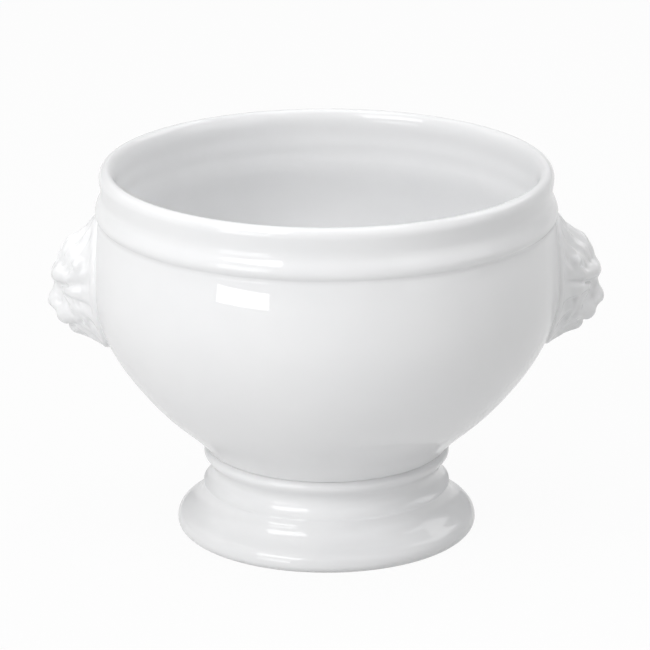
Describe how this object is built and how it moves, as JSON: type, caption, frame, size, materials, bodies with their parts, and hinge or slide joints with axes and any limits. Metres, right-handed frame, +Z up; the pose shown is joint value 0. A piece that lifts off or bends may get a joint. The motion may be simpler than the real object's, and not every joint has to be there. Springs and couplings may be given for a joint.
{
  "type": "onion soup crock",
  "caption": "Footed white porcelain soup bowl with a beaded collar, lion-head lugs on both sides and a turned pedestal foot.",
  "frame": {"origin": "middle of the resting face under the foot", "axes": "+Z up through the bowl, +X through the right lion head, +Y to the back"},
  "size_m": [0.1484, 0.1246, 0.1],
  "materials": {
    "glazed_porcelain": "glossy clear glaze over white porcelain",
    "fired_slip": "fired porcelain slip under the glaze"
  },
  "bodies": {
    "root": {"bowl_body": "glazed_porcelain", "pedestal_foot": "glazed_porcelain", "left_lion_head": "glazed_porcelain", "right_lion_head": "glazed_porcelain", "foot_slip_seam": "fired_slip", "left_head_seam": "fired_slip", "right_head_seam": "fired_slip"}
  },
  "joints": []
}
